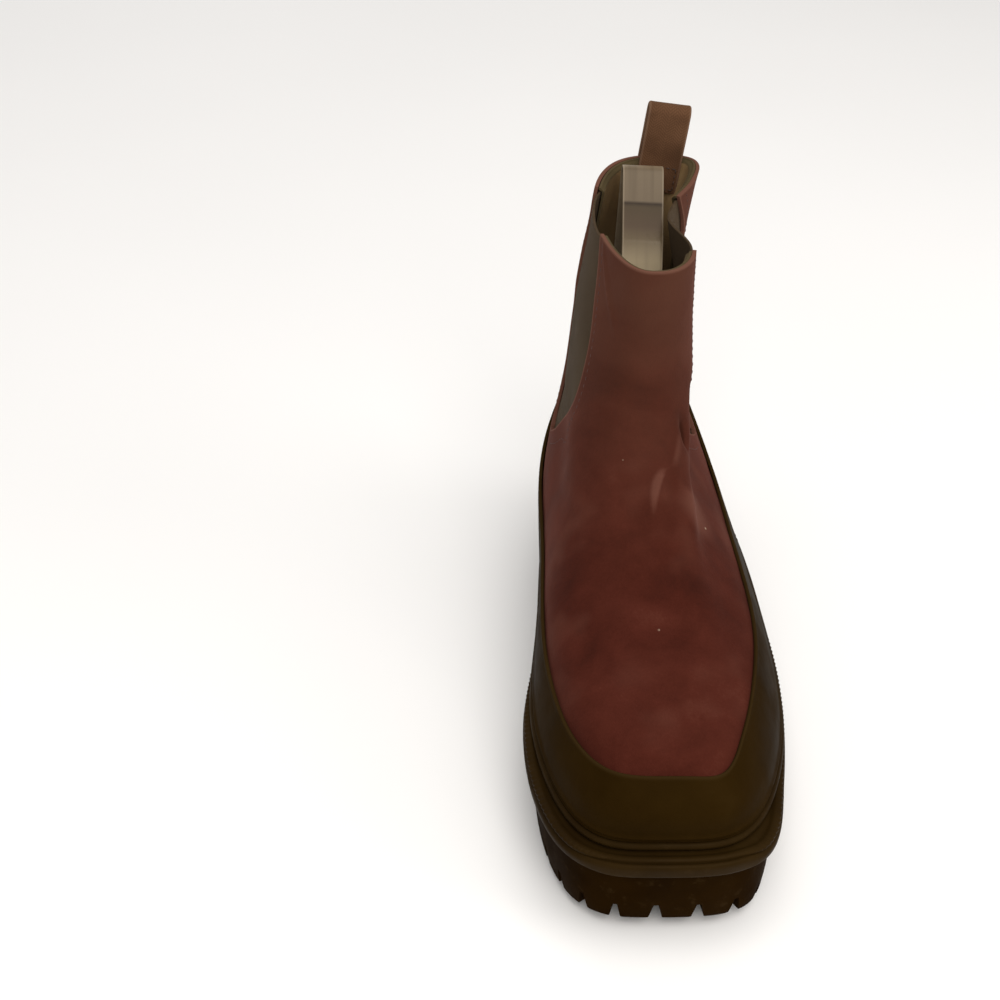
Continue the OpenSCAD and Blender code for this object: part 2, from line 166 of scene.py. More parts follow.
def gore_edge(v, side, back):
    """An edge of a gore at height v, counted from the front centre."""
    v = np.asarray(v, float)
    share = (v - GORE_TIP) / (1 - GORE_TIP)
    edges = [curve(table[side], share) for table in (GORE_FRONT, GORE_BACK)]
    rise = np.clip((v - GORE_TIP) / GORE_ROUND, 0, 1)
    return mix((edges[0] + edges[1]) / 2, edges[back], np.sqrt(1 - (1 - rise) ** 2))


def front_easing(side):
    """Heights v, and what to add to u there so that a gore's front edge runs on evenly."""
    v = np.linspace(GORE_TIP, 1, 129)
    edge = gore_edge(v, side, False)
    y = hide(side * edge, v)[:, 1]
    spread = np.exp(-((v[:, None] - v) / 0.055) ** 2)
    even = mix(y, spread @ y / spread.sum(1), smooth(0.39, 0.46, v) * smooth(0.80, 0.68, v))
    u = np.linspace(0.10, 0.34, 241)
    eased = [np.interp(aim, hide(side * u, np.full_like(u, height))[:, 1], u)
             for aim, height in zip(even, v)]
    return v, np.array(eased) - edge


GORE_EASING = {side: front_easing(side) for side in (1, -1)}


def gore_front(v, side):
    return gore_edge(v, side, False) + np.interp(v, *GORE_EASING[side])


def gore_back(v, side):
    return gore_edge(v, side, True)


def across_front(a, v, margin=0.0):
    return mix(margin - gore_front(v, -1), gore_front(v, 1) - margin, a)


def across_back(a, v, margin=0.0):
    return mix(gore_back(v, 1) + margin, 1 - gore_back(v, -1) - margin, a)


def gore_rows(share, low, high, count):
    """Heights of rows from low to high, closer together just above the gores' tips."""
    lower = np.linspace(low, GORE_TIP, round(count * share), endpoint=False)
    t = np.linspace(0, 1, count - len(lower) + 1)
    return np.concatenate([lower, GORE_TIP + (high - GORE_TIP) * t ** 2])


# ---- the sole's edge and levels

def outline_point(t):
    knots = np.asarray(OUTLINE, float)
    n = len(knots)
    x = (np.asarray(t, float) % 1) * n
    i = np.floor(x).astype(int)
    near = [knots[(i + k) % n] for k in (-1, 0, 1, 2)]
    return spline(*near, (x - i)[..., None])


ARC_SHARES = np.linspace(0, 1, 2401)
ARC_STEPS = np.linalg.norm(np.diff(outline_point(ARC_SHARES), axis=0), axis=1)
ARC_LENGTHS = np.concatenate([[0], np.cumsum(ARC_STEPS)])
PERIMETER = ARC_LENGTHS[-1]


def edge_at(s):
    """Point of the sole's edge by its share of the perimeter, from the toe round the inner side."""
    return outline_point(np.interp(np.asarray(s, float) % 1, ARC_LENGTHS / PERIMETER, ARC_SHARES))


def edge_normal(s):
    d = edge_at(np.asarray(s) + 0.001) - edge_at(np.asarray(s) - 0.001)
    return unit(np.stack([-d[..., 1], d[..., 0]], -1))


def level(y, z):
    """Height of a level of the sole: the toe curls up at the ground, the heel rises at the top."""
    toe_start, half = CURL_START * BOOT_LENGTH, BOOT_LENGTH / 2
    curl = np.clip((toe_start - y) / (toe_start + half), 0, None)
    share = np.minimum(z / TOP_Z, 1)
    return (z + TOE_SPRING * curl ** 2 * (1 - share)
            + HEEL_RISE * (y + half) / BOOT_LENGTH * share)


def raised(p, z):
    """Points (x, y) lifted to level z of the sole."""
    return np.stack([p[..., 0], p[..., 1], level(p[..., 1], z)], -1)


def sole_points(s, inset, z):
    s, inset, z = np.broadcast_arrays(*[np.asarray(x, float) for x in (s, inset, z)])
    return raised(edge_at(s) - inset[..., None] * edge_normal(s), z)


def spine_beside(ring):
    return np.stack([np.zeros(len(ring)), np.clip(ring[:, 1], *SPINE_Y)], -1)


def toward_spine(ring, share, z):
    """The ring drawn in towards the middle line of the sole, at level z."""
    return raised(mix(ring[:, :2], spine_beside(ring), share), z)


def feather_points(u, inset, rise):
    """Ring inside or outside the foot of the upper."""
    p, out = hide(u, 0), outward(u, 0)
    out = unit(out * [1, 1, 0])
    return p - np.asarray(inset)[..., None] * out + np.asarray(rise)[..., None] * [0, 0, 1]


# ---- meshes

def shade(mesh, sharp):
    mesh.shade_smooth()
    mesh.set_sharp_from_angle(angle=math.radians(sharp))


def finish_mesh(mesh, sharp):
    bm = bmesh.new()
    bm.from_mesh(mesh)
    bmesh.ops.recalc_face_normals(bm, faces=bm.faces)
    bm.to_mesh(mesh)
    bm.free()
    shade(mesh, sharp)


def bevel(obj, width):
    """Rounds the edges that turn by more than 50 degrees."""
    mod = obj.modifiers.new("edges", "BEVEL")
    mod.width = width * MM
    mod.segments = 3
    mod.limit_method = "ANGLE"
    mod.angle_limit = math.radians(50)
    graph = bpy.context.evaluated_depsgraph_get()
    made = bpy.data.meshes.new_from_object(obj.evaluated_get(graph), preserve_all_data_layers=True,
                                           depsgraph=graph)
    obj.modifiers.clear()
    obj.data = made


def make_piece(name, points, faces, material, uv=None, marks=None, edge=0.0, sharp=40):
    """A mesh object from points in mm. uv is in mm too, and marks are named floats per point."""
    points = np.asarray(points, float).reshape(-1, 3)
    mesh = bpy.data.meshes.new(name)
    mesh.from_pydata((points * MM).tolist(), [], [tuple(map(int, f)) for f in faces])
    obj = bpy.data.objects.new(name, mesh)
    bpy.context.scene.collection.objects.link(obj)
    for mark, values in (marks or {}).items():
        layer = mesh.attributes.new(mark, "FLOAT", "POINT")
        layer.data.foreach_set("value", np.asarray(values, np.float32).ravel())
    if uv is not None:
        corners = np.zeros(len(mesh.loops), int)
        mesh.loops.foreach_get("vertex_index", corners)
        layer = mesh.uv_layers.new(name="weave")
        layer.data.foreach_set("uv", (np.asarray(uv).reshape(-1, 2)[corners] * MM).ravel())
    mesh.materials.append(material)
    finish_mesh(mesh, 180 if edge else sharp)
    if edge:
        bevel(obj, edge)
        shade(obj.data, sharp)
    return obj


def grid_faces(rows, columns, start=0, wrap=False):
    """Quads of a grid of points, rows by columns, the columns joined round if wrap."""
    index = start + np.arange(rows * columns).reshape(rows, columns)
    right = np.roll(index, -1, axis=1)
    if not wrap:
        index, right = index[:, :-1], right[:, :-1]
    return np.stack([index[:-1], right[:-1], right[1:], index[1:]], -1).reshape(-1, 4)


def tube_faces(count, size, start=0):
    """Quads between count rings of size points, and a face over each end."""
    last = start + (count - 1) * size
    return (grid_faces(count, size, start, wrap=True).tolist()
            + [list(range(start, start + size))[::-1], list(range(last, last + size))])


def lengths_along(points, axis):
    steps = np.linalg.norm(np.diff(points, axis=axis), axis=-1)
    return np.insert(np.cumsum(steps, axis=axis), 0, 0, axis=axis)


def shell(name, place, columns, rows, outer, inner, material, edge=0.4, relief=None,
          rim_width=1.5):
    """A closed patch of skin between two depths: place(a, b) gives u and v, a going from 0 to 1.

    outer and inner are depths in mm or functions of (u, v). relief(u, v, skin, near, up) adds to
    them, near being the distance in mm to the patch's edge and up the distance to its foot. The
    point attribute "relief" keeps it, and "rim" is 1 at the edge and falls off over rim_width mm.
    The lowest row doesn't count as an edge.
    """
    fine = np.linspace(0, 1, 1601)
    ring = lengths_along(hide(*place(fine, float(np.median(rows)))), 0)
    a = np.interp(np.linspace(0, 1, columns + 1), ring / ring[-1], fine)
    u, v = place(*np.meshgrid(a, rows))
    skin, out = hide(u, v), outward(u, v)
    across, up = lengths_along(skin, 1), lengths_along(skin, 0)
    near = np.minimum(np.minimum(across, across[:, -1:] - across), up[-1:] - up)
    height = relief(u, v, skin, near, up) if relief else np.zeros_like(u)
    depths = [d(u, v) if callable(d) else np.full_like(u, d) for d in (outer, inner)]
    points = np.stack([skin + out * (d + height)[..., None] for d in depths])
    rim = np.exp(-(near / rim_width) ** 2)
    centred = np.stack([across - across[:, -1:] / 2, up], -1)
    count, size = u.shape
    n = count * size
    index = np.arange(n).reshape(count, size)
    border = np.concatenate([index[0, :], index[1:, -1], index[-1, -2::-1], index[-2:0:-1, 0]])
    after = np.roll(border, -1)
    faces = np.concatenate([grid_faces(count, size), grid_faces(count, size, n)[:, ::-1],
                            np.stack([after, border, border + n, after + n], -1)])
    return make_piece(name, points, faces, material, uv=np.stack([centred] * 2),
                      marks={"rim": np.stack([rim] * 2), "relief": np.stack([height] * 2)},
                      edge=edge)


def hoop(name, rings, material, sharp=40):
    """A closed band from an array of cross-sections, rings by points."""
    count, size, _ = rings.shape
    index = np.arange(count * size).reshape(count, size)
    ahead, right = np.roll(index, -1, axis=0), np.roll(index, -1, axis=1)
    both = np.roll(ahead, -1, axis=1)
    faces = np.stack([index, ahead, both, right], -1).reshape(-1, 4)
    return make_piece(name, rings, faces, material, sharp=sharp)


def stack(name, rings, material, sharp):
    """A closed solid through rings of the same number of points, with a face over each end."""
    rings = np.asarray(rings)
    return make_piece(name, rings, tube_faces(*rings.shape[:2]), material, sharp=sharp)


def ribbon(name, path, width, thickness, place, material, edge_swell=0.0):
    """A flat strip along a path in the (y, z) plane, its width along x. place maps points."""
    path = np.asarray(path, float)
    ahead = unit(np.gradient(path, axis=0))
    normal = np.stack([-ahead[:, 1], ahead[:, 0]], -1)
    half, r = width / 2, thickness / 2
    across = np.linspace(-half + r, half - r, 15)
    swell = r + edge_swell * np.abs(across / half) ** 8
    turn = np.linspace(-math.pi / 2, math.pi / 2, 7)[1:-1]
    side = [(half - r + r * math.cos(t), r * math.sin(t)) for t in turn]
    section = [*zip(across, -swell), *side, *zip(across[::-1], swell[::-1]),
               *[(-x, y) for x, y in side[::-1]]]
    section = np.asarray(section)
    size = len(section)
    points = np.zeros((len(path), size, 3))
    points[..., 0] = section[:, 0]
    points[..., 1:] = path[:, None] + normal[:, None] * section[:, 1:]
    along = lengths_along(path, 0)
    uv = np.stack([np.broadcast_to(section[:, 0], points.shape[:2]),
                   np.broadcast_to(along[:, None], points.shape[:2])], -1)
    return make_piece(name, place(points), tube_faces(len(path), size), material, uv=uv, sharp=50)


def stitches(name, lines, material, length=2.3, gap=1.0, radius=0.19):
    """Rows of thread. Each line is (points, outward directions), and the rows are one object."""
    points, faces = [], []
    rings, sides = 5, 8
    for line, out in lines:
        s = lengths_along(np.asarray(line, float), 0)
        count = max(1, int((s[-1] + gap) / (length + gap)))
        pitch = (s[-1] + gap) / count
        for k in range(count):
            start = k * pitch
            at = start + np.linspace(0, pitch - gap, rings + 2)
            centre = np.stack([np.interp(at, s, line[:, i]) for i in range(3)], -1)
            up = unit(np.stack([np.interp(at, s, out[:, i]) for i in range(3)], -1))
            bow = np.sin(np.linspace(0, math.pi, rings + 2))
            centre = centre + up * ((bow - 0.75) * radius)[:, None]
            ahead = unit(np.gradient(centre, axis=0))
            across = unit(np.cross(ahead, up))
            base = len(points)
            points.append(centre[0])
            for i in range(1, rings + 1):
                r = radius * math.sqrt(bow[i])
                for j in range(sides):
                    a = TURN * j / sides
                    points.append(centre[i] + r * (math.cos(a) * across[i] + math.sin(a) * up[i]))
            points.append(centre[-1])
            last = len(points) - 1
            for j in range(sides):
                after = (j + 1) % sides
                faces.append((base, base + 1 + after, base + 1 + j))
                for i in range(rings - 1):
                    p = base + 1 + i * sides
                    faces.append((p + j, p + after, p + sides + after, p + sides + j))
                p = base + 1 + (rings - 1) * sides
                faces.append((p + j, p + after, last))
    return make_piece(name, points, faces, material, sharp=80)


# ---- materials

class Look:
    """A procedural material: short names for the nodes that the looks below share."""

    def __init__(self, name, **values):
        self.material = bpy.data.materials.new(name)
        self.material.use_nodes = True
        self.tree = self.material.node_tree
        self.shader = self.tree.nodes["Principled BSDF"]
        for socket, value in values.items():
            self.shader.inputs[socket.replace("_", " ")].default_value = value

    def node(self, kind, settings=None, **inputs):
        made = self.tree.nodes.new("ShaderNode" + kind)
        for key, value in (settings or {}).items():
            setattr(made, key, value)
        for key, value in inputs.items():
            socket = made.inputs[int(key[1:])] if key[1:].isdigit() else made.inputs[key]
            if isinstance(value, bpy.types.NodeSocket):
                self.tree.links.new(value, socket)
            else:
                socket.default_value = value
        return made

    def place(self, stretch=(1, 1, 1)):
        """Object coordinates in metres, stretched."""
        at = self.node("TexCoord").outputs["Object"]
        return self.node("Mapping", _0=at, Scale=stretch).outputs[0]

    def weave_at(self, stretch=(1, 1, 1), turn=0.0):
        """Coordinates along and across a woven piece, in metres."""
        at = self.node("UVMap", {"uv_map": "weave"}).outputs[0]
        return self.node("Mapping", _0=at, Rotation=(0, 0, turn), Scale=stretch).outputs[0]

    def noise(self, scale, detail=3.0, rough=0.5, at=None, twist=0.0):
        return self.node("TexNoise", Vector=at or self.place(), Scale=scale, Detail=detail,
                         Roughness=rough, Distortion=twist).outputs[0]

    def cells(self, scale):
        return self.node("TexVoronoi", Vector=self.place(), Scale=scale).outputs["Distance"]

    def wave(self, period, at, twist=0.0, direction="X"):
        """Bands with a period in metres."""
        return self.node("TexWave", {"bands_direction": direction}, Vector=at,
                         Scale=1 / period / TURN * math.pi, Distortion=twist, Detail=1.0,
                         **{"Detail Scale": 2.0}).outputs["Fac"]

    def math(self, operation, a, b=0.0, c=0.0):
        return self.node("Math", {"operation": operation}, _0=a, _1=b, _2=c).outputs[0]

    def mingle(self, a, share_a, b, share_b):
        return self.math("MULTIPLY_ADD", a, share_a, self.math("MULTIPLY", b, share_b))

    def spread(self, value, low, high, to_low=0.0, to_high=1.0):
        return self.node("MapRange", {"interpolation_type": "SMOOTHSTEP"}, Value=value,
                         **{"From Min": low, "From Max": high, "To Min": to_low,
                            "To Max": to_high}).outputs[0]

    def tones(self, value, *stops):
        ramp = self.node("ValToRGB", _0=value)
        spots = ramp.color_ramp.elements
        while len(spots) < len(stops):
            spots.new(0.5)
        for spot, (where, colour) in zip(spots, stops):
            spot.position = where
            spot.color = (*colour, 1)
        return ramp.outputs[0]

    def layer(self, share, under, over):
        made = self.node("Mix", {"data_type": "RGBA"}, _0=share)
        for i, value in ((6, under), (7, over)):
            if isinstance(value, bpy.types.NodeSocket):
                self.tree.links.new(value, made.inputs[i])
            else:
                made.inputs[i].default_value = (*value, 1)
        return made.outputs[2]

    def mark(self, name):
        return self.node("Attribute", {"attribute_name": name}).outputs["Fac"]

    def colour(self, value):
        self.tree.links.new(value, self.shader.inputs["Base Color"])

    def roughness(self, value):
        self.tree.links.new(value, self.shader.inputs["Roughness"])

    def bumps(self, *heights):
        """Bumps one over another. Each is (height, strength, depth in mm)."""
        last = None
        for height, strength, depth in heights:
            made = self.node("Bump", Height=height, Strength=strength, Distance=depth * MM)
            if last:
                self.tree.links.new(last, made.inputs["Normal"])
            last = made.outputs[0]
        self.tree.links.new(last, self.shader.inputs["Normal"])


def cloth(name, rough, sheen, sheen_tint, gloss_tint, gloss=0.12):
    return Look(name, Roughness=rough, Sheen_Weight=sheen, Sheen_Roughness=0.5,
                Sheen_Tint=(*sheen_tint, 1), Specular_IOR_Level=gloss,
                Specular_Tint=(*gloss_tint, 1))


def suede_look(name):
    look = cloth(name, 0.94, 0.10, (0.62, 0.24, 0.18), (1.0, 0.72, 0.60), gloss=0.10)
    blotch = look.noise(17, 4, 0.55, twist=0.6)
    patch = look.noise(48, 3, 0.6, twist=0.3)
    nap = look.noise(900, 3, 0.7, at=look.place((1, 1, 0.45)))
    mottle = look.mingle(patch, 0.45, blotch, 0.55)
    mottle = look.math("MULTIPLY_ADD", nap, 0.16, look.math("SUBTRACT", mottle, 0.08))
    tone = look.tones(mottle, (0.30, (0.026, 0.0047, 0.0026)), (0.47, (0.046, 0.0086, 0.0048)),
                      (0.60, (0.062, 0.0130, 0.0078)), (0.76, (0.094, 0.0275, 0.0180)))
    rubbed = look.spread(look.noise(30, 2, 0.5), 0.54, 0.70)
    tone = look.layer(look.math("MULTIPLY", rubbed, 0.32), tone, (0.105, 0.0360, 0.0240))
    # painted light: the suede turns lighter and greyer towards the top of the shaft, in blotches
    height = look.node("SeparateXYZ", Vector=look.place()).outputs[2]
    blotch_share = look.spread(blotch, 0.3, 0.7, 0.45, 0.9)
    painted_light_up_shaft = look.math("MULTIPLY", look.spread(height, 0.085, 0.19), blotch_share)
    tone = look.layer(painted_light_up_shaft, tone, (0.076, 0.0300, 0.0185))
    relief = look.mark("relief")
    # painted shade: darker in the folds of the relief
    tone = look.layer(look.spread(relief, -0.5, -1.6, 0, 0.75), tone, (0.022, 0.0050, 0.0020))
    # painted highlight: lighter along the ridges and swells of the relief
    tone = look.layer(look.spread(relief, 0.45, 1.3, 0, 0.45), tone, (0.150, 0.0620, 0.0440))
    cut = look.math("MULTIPLY", look.spread(look.mark("rim"), 0.45, 0.95), 0.65)
    tone = look.layer(cut, tone, (0.150, 0.0700, 0.0480))
    lint = look.spread(look.cells(85), 0.070, 0.045)
    seldom = look.spread(look.noise(60, 1, 0.5), 0.60, 0.66)
    tone = look.layer(look.math("MULTIPLY", lint, seldom), tone, (0.34, 0.25, 0.18))
    look.colour(tone)
    look.roughness(look.spread(patch, 0.3, 0.7, 0.88, 0.98))
    look.bumps((look.noise(2600, 2, 0.6), 0.5, 0.10), (nap, 0.45, 0.22), (patch, 0.25, 0.8))
    return look.material


def guard_look(name):
    look = Look(name, Roughness=0.6, Specular_IOR_Level=0.008, Specular_Tint=(1.0, 0.74, 0.42, 1))
    cloud = look.noise(22, 4, 0.6)
    grain = look.noise(1300, 2, 0.6)
    tone = look.tones(cloud, (0.30, (0.0140, 0.0068, 0.0011)), (0.55, (0.0200, 0.0100, 0.0018)),
                      (0.78, (0.0270, 0.0145, 0.0034)))
    worn = look.math("MULTIPLY", look.spread(look.mark("rim"), 0.2, 1.0), 0.45)
    tone = look.layer(worn, tone, (0.040, 0.0240, 0.0085))
    scuff = look.spread(look.noise(70, 5, 0.75, at=look.place((1, 1, 2.5))), 0.66, 0.74)
    tone = look.layer(look.math("MULTIPLY", scuff, 0.3), tone, (0.060, 0.0400, 0.0200))
    look.colour(tone)
    look.roughness(look.spread(look.noise(45, 3, 0.6), 0.3, 0.7, 0.48, 0.64))
    look.bumps((grain, 0.35, 0.08), (look.cells(420), 0.22, 0.10), (cloud, 0.15, 0.6))
    return look.material


def rubber_look(name, low, high, rough, gloss, dust_share=0.20):
    look = Look(name, Roughness=0.6, Specular_IOR_Level=gloss, Specular_Tint=(1.0, 0.78, 0.50, 1))
    cloud = look.noise(28, 4, 0.6)
    fine = look.noise(1500, 2, 0.6)
    tone = look.tones(cloud, (0.30, low), (0.72, high))
    dust = look.spread(look.noise(160, 5, 0.72), 0.56, 0.70)
    tone = look.layer(look.math("MULTIPLY", dust, dust_share), tone, (0.050, 0.0300, 0.0120))
    look.colour(tone)
    look.roughness(look.spread(look.noise(60, 3, 0.6), 0.3, 0.7, rough, rough + 0.18))
    look.bumps((fine, 0.3, 0.08), (cloud, 0.2, 0.5))
    return look.material


def elastic_look(name):
    look = cloth(name, 0.85, 0.06, (0.8, 0.62, 0.42), (1.0, 0.82, 0.62))
    at = look.weave_at()
    rib = look.wave(0.0014, at)
    weft = look.wave(0.0009, at, direction="Y")
    knit = look.mingle(weft, 0.3, rib, 0.7)
    cloud = look.noise(35, 3, 0.6)
    value = look.mingle(cloud, 0.35, knit, 0.65)
    look.colour(look.tones(value, (0.20, (0.0220, 0.0135, 0.0070)),
                           (0.55, (0.0480, 0.0300, 0.0165)), (0.85, (0.0720, 0.0480, 0.0270))))
    look.bumps((knit, 0.7, 0.35), (look.noise(2200, 2, 0.6), 0.3, 0.08))
    return look.material


def lining_look(name):
    look = cloth(name, 0.88, 0.05, (0.8, 0.6, 0.4), (1.0, 0.82, 0.62))
    twill = look.wave(0.0010, look.weave_at(turn=math.radians(50)), 0.2)
    cloud = look.noise(26, 4, 0.6)
    value = look.mingle(cloud, 0.75, twill, 0.25)
    # the cloth's colour raised with painted light: much lighter than the cloth, to make up for the
    # shade inside the shaft
    tone = look.tones(value, (0.25, (0.1700, 0.1050, 0.0440)), (0.60, (0.2700, 0.1750, 0.0830)),
                      (0.85, (0.3700, 0.2500, 0.1320)))
    binding = look.spread(look.mark("rim"), 0.02, 0.30, 0, 0.92)
    look.colour(look.layer(binding, tone, (0.0520, 0.0400, 0.0190)))
    look.bumps((twill, 0.5, 0.15), (cloud, 0.25, 0.8))
    return look.material


def webbing_look(name, width):
    look = cloth(name, 0.86, 0.08, (0.8, 0.5, 0.32), (1.0, 0.78, 0.58))
    at = look.node("SeparateXYZ", Vector=look.weave_at()).outputs
    across = look.math("ABSOLUTE", at[0])
    slant = look.math("PINGPONG", across, 0.0032)
    along = look.math("MULTIPLY_ADD", slant, 0.9, at[1])
    ridge = look.math("SINE", look.math("MULTIPLY", along, TURN / 0.0013))
    yarn = look.math("SINE", look.math("MULTIPLY", across, TURN / 0.00095))
    weave = look.math("MULTIPLY_ADD", ridge, 0.32, look.math("MULTIPLY_ADD", yarn, 0.16, 0.5))
    cloud = look.noise(50, 3, 0.6)
    value = look.mingle(cloud, 0.74, weave, 0.26)
    tone = look.tones(value, (0.25, (0.058, 0.0270, 0.0135)), (0.55, (0.098, 0.0470, 0.0240)),
                      (0.82, (0.150, 0.0750, 0.0390)))
    edge = look.spread(across, (width / 2 - 1.3) * MM, (width / 2 - 0.3) * MM, 0, 0.5)
    look.colour(look.layer(edge, tone, (0.200, 0.120, 0.078)))
    look.bumps((weave, 0.4, 0.20), (look.noise(3000, 2, 0.6), 0.3, 0.06))
    return look.material


def shaper_look(name):
    look = Look(name, Metallic=0.1, Roughness=0.3, Specular_IOR_Level=0.12, Coat_Weight=0.06,
                Coat_Roughness=0.15)
    at = look.node("SeparateXYZ", Vector=look.weave_at()).outputs
    streak = look.noise(260, 2, 0.5, at=look.weave_at((1, 0.03, 1)))
    haze = look.noise(40, 3, 0.55)
    # painted reflections: bands of light and dark from the bend at the top down the sloping leg,
    # with a painted highlight at the bend
    along = look.spread(look.math("MULTIPLY_ADD", haze, 0.002, at[1]), 0.090, 0.165)
    tone = look.tones(along, (0.00, (0.260, 0.198, 0.128)), (0.03, (0.134, 0.101, 0.066)),
                      (0.22, (0.126, 0.094, 0.061)), (0.24, (0.024, 0.014, 0.007)),
                      (0.27, (0.056, 0.038, 0.020)), (0.44, (0.070, 0.045, 0.026)),
                      (0.59, (0.115, 0.084, 0.046)), (0.74, (0.190, 0.147, 0.084)))
    tone = look.layer(look.spread(streak, 0.45, 0.75, 0, 0.35), tone, (0.050, 0.035, 0.020))
    # painted highlight: lighter along both edges of the strip
    edge = look.spread(look.math("ABSOLUTE", at[0]), 0.0080, 0.0088, 0, 0.6)
    look.colour(look.layer(edge, tone, (0.300, 0.240, 0.170)))
    look.roughness(look.spread(haze, 0.3, 0.7, 0.26, 0.40))
    look.bumps((streak, 0.08, 0.4), (look.noise(600, 3, 0.6), 0.05, 0.05))
    return look.material


def plain_look(name, low, high, rough=0.8, grain=900, bump=0.3, metal=0.0, weave=None):
    """Board, foam, tape, thread and steel: two tones in a fine grain."""
    look = Look(name, Roughness=rough, Metallic=metal)
    fine = look.noise(grain, 3, 0.65)
    cloud = look.noise(32, 3, 0.6)
    value = look.mingle(cloud, 0.5, fine, 0.5)
    look.colour(look.tones(value, (0.32, low), (0.68, high)))
    look.roughness(look.spread(cloud, 0.3, 0.7, rough - 0.07, min(1, rough + 0.07)))
    heights = [(fine, bump, 0.15)]
    if weave:
        at = look.place()
        heights += [(look.wave(weave, at, direction=way), 0.4, 0.2) for way in "XY"]
    look.bumps(*heights)
    return look.material


SUEDE_LOOK = suede_look("suede")
GUARD_LOOK = guard_look("coated_guard")
TREAD_LOOK = rubber_look("tread_rubber", (0.0080, 0.0032, 0.0004), (0.0170, 0.0072, 0.0008), 0.58,
                         0.008, dust_share=0.25)
BUMPER_LOOK = rubber_look("bumper_rubber", (0.0150, 0.0074, 0.0016), (0.0255, 0.0135, 0.0030), 0.48,
                          0.05)
ELASTIC_LOOK = elastic_look("elastic")
LINING_LOOK = lining_look("lining_textile")
TAB_WIDTH = 19.0
WEBBING_LOOK = webbing_look("webbing", TAB_WIDTH)
THREAD_LOOK = plain_look("thread", (0.040, 0.016, 0.012), (0.085, 0.036, 0.028), 0.7, 2500, 0.5)
TAB_THREAD_LOOK = plain_look("tab_thread", (0.030, 0.016, 0.010), (0.065, 0.036, 0.024), 0.7, 2500,
                             0.5)
SHAPER_LOOK = shaper_look("shaper_plastic")
SOCK_LOOK = plain_look("sock_textile", (0.030, 0.022, 0.014), (0.062, 0.048, 0.032), 0.9, 1500, 0.4,
                       weave=0.0011)
TAPE_LOOK = plain_look("tape", (0.30, 0.24, 0.17), (0.46, 0.38, 0.28), 0.85, 1800, 0.4,
                       weave=0.0009)
NODE_LOOKS = {
    "midsole": plain_look("midsole_foam", (0.030, 0.026, 0.020), (0.060, 0.052, 0.040), 0.88, 500,
                          0.5),
    "shank": plain_look("shank_steel", (0.34, 0.34, 0.33), (0.52, 0.52, 0.50), 0.38, 260, 0.15,
                        metal=0.95),
    "insole_board": plain_look("board", (0.24, 0.17, 0.09), (0.40, 0.29, 0.17), 0.85, 700, 0.35),
    "footbed": plain_look("footbed_foam", (0.075, 0.062, 0.048), (0.125, 0.104, 0.080), 0.9, 600,
                          0.5),
    "toe_puff": plain_look("stiffener", (0.42, 0.35, 0.24), (0.60, 0.51, 0.37), 0.8, 900, 0.35),
}
NODE_LOOKS["counter_stiffener"] = NODE_LOOKS["toe_puff"]


# ---- the joints that the soft parts cross

JOINTS = {joint["name"]: joint for joint in frame["joints"]}


def gore_planes(side):
    """Start and end of a gore's stretch."""
    # tilt of the planes, and the stretch's start and length in mm, fitted to the suede's motion
    lean, wait, reach = {1: (math.radians(8), 4, 25), -1: (math.radians(16), 0, 15)}[side]
    v = np.linspace(GORE_TIP, 1, 25)
    back = hide(side * gore_back(v, side), v)
    along = unit((back[-1] - back[0]) * [0, 1, 1])
    ahead = math.cos(lean) * np.array([0, -along[2], along[1]]) + math.sin(lean) * along
    start = (back @ ahead).max() + wait
    return Vector(ahead * start * MM), Vector(ahead * (start + reach) * MM)


def bend_with_front(obj):
    """Bakes obj's transform into its mesh. The seam where the front flexes is found but not used.
    """
    side = hide(gore_front(FLEX_V, 1), FLEX_V) * MM
    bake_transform(obj)


# ---- the upper

# Folds of the suede: points (u, v) along each, its half width and its depth in mm
FOLDS = [
    ([(-0.075, 0.700), (-0.052, 0.650), (-0.030, 0.590)], 2.8, 1.1),
    ([(-0.106, 0.712), (-0.120, 0.674), (-0.135, 0.640)], 2.3, 2.6),
    ([(-0.178, 0.722), (-0.180, 0.690), (-0.174, 0.655)], 4.0, 1.2),
    ([(0.060, 0.640), (0.020, 0.600), (-0.004, 0.560)], 7.0, 0.7),
    ([(0.250, 0.395), (0.200, 0.470), (0.150, 0.520)], 6.0, 0.6),
    ([(-0.180, 0.610), (-0.140, 0.590), (-0.100, 0.600)], 5.0, 0.8),
    ([(0.430, 0.640), (0.500, 0.600), (0.570, 0.640)], 6.0, 0.9),
    ([(0.400, 0.520), (0.500, 0.490), (0.600, 0.520)], 7.0, 0.7),
]
# Ridges: the same, raised
RIDGES = [
    ([(0.178, 0.985), (0.135, 0.915), (0.095, 0.873)], 1.2, 1.0),
    ([(-0.100, 0.708), (-0.068, 0.664), (-0.023, 0.636), (-0.005, 0.574)], 2.4, 1.3),
    ([(-0.150, 0.690), (-0.145, 0.640), (-0.150, 0.590)], 6.0, 0.8),
]
# Swells: u, v, radius and height in mm
SWELLS = [(-0.150, 0.560, 15, 1.0), (-0.175, 0.480, 18, 0.7), (0.120, 0.700, 22, 0.5),
          (0.0, 0.32, 30, 0.5), (-0.06, 0.80, 20, -0.5), (0.05, 0.90, 18, 0.4)]


def line_distance(points, line):
    """Distance of each point from a polyline, and how far along it, from 0 to 1."""
    best = np.full(points.shape[:-1], 1e9)
    share = np.zeros(points.shape[:-1])
    count = len(line) - 1
    for k in range(count):
        a, d = line[k], line[k + 1] - line[k]
        t = np.clip(((points - a) @ d) / (d @ d), 0, 1)
        gap = np.linalg.norm(points - (a + t[..., None] * d), axis=-1)
        closer = gap < best
        best = np.where(closer, gap, best)
        share = np.where(closer, (k + t) / count, share)
    return best, share


def waves(points, size, seed):
    """Smooth noise from -1 to 1 over points in mm, with waves of about size mm."""
    flat = points.reshape(-1, 3) / size + seed
    return np.array([noise.noise(Vector(p)) for p in flat]).reshape(points.shape[:-1])


